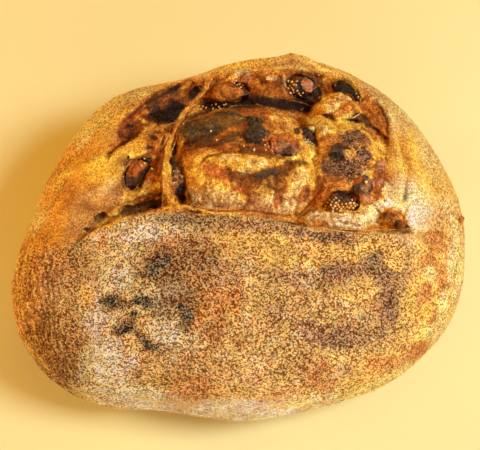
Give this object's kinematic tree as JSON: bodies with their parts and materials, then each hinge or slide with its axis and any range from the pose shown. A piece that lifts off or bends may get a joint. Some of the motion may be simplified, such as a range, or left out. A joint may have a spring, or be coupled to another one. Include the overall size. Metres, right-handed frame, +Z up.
{
  "type": "sourdough loaf",
  "caption": "Scored country sourdough loaf with risen dough and dried fig pieces showing in its open score, lying on its flat base.",
  "frame": {"origin": "point of the flat base under the middle of the loaf's width, on the surface it stands on", "axes": "+Z up, +X along the loaf's long side and its score, +Y away from the thin front lip of the score"},
  "size_m": [0.2387, 0.1996, 0.0971],
  "materials": {
    "crust": "dry matt baked crust, floured",
    "fig_flesh": "sticky dark red dried fruit with small seeds",
    "fig_skin": "wrinkled near-black dried fruit skin"
  },
  "bodies": {
    "root": {"loaf": "crust", "fig_back_seeded": "fig_flesh", "fig_back_flesh": "fig_flesh", "fig_back_skin": "fig_skin", "fig_top_skin": "fig_skin", "fig_top_slice": "fig_flesh", "fig_valley": "fig_skin", "fig_right_nub": "fig_skin", "fig_right_seeded": "fig_flesh", "fig_right_dark": "fig_skin", "fig_corner": "fig_flesh", "fig_left_torn": "fig_flesh", "fig_beside_strand": "fig_skin"}
  },
  "joints": []
}
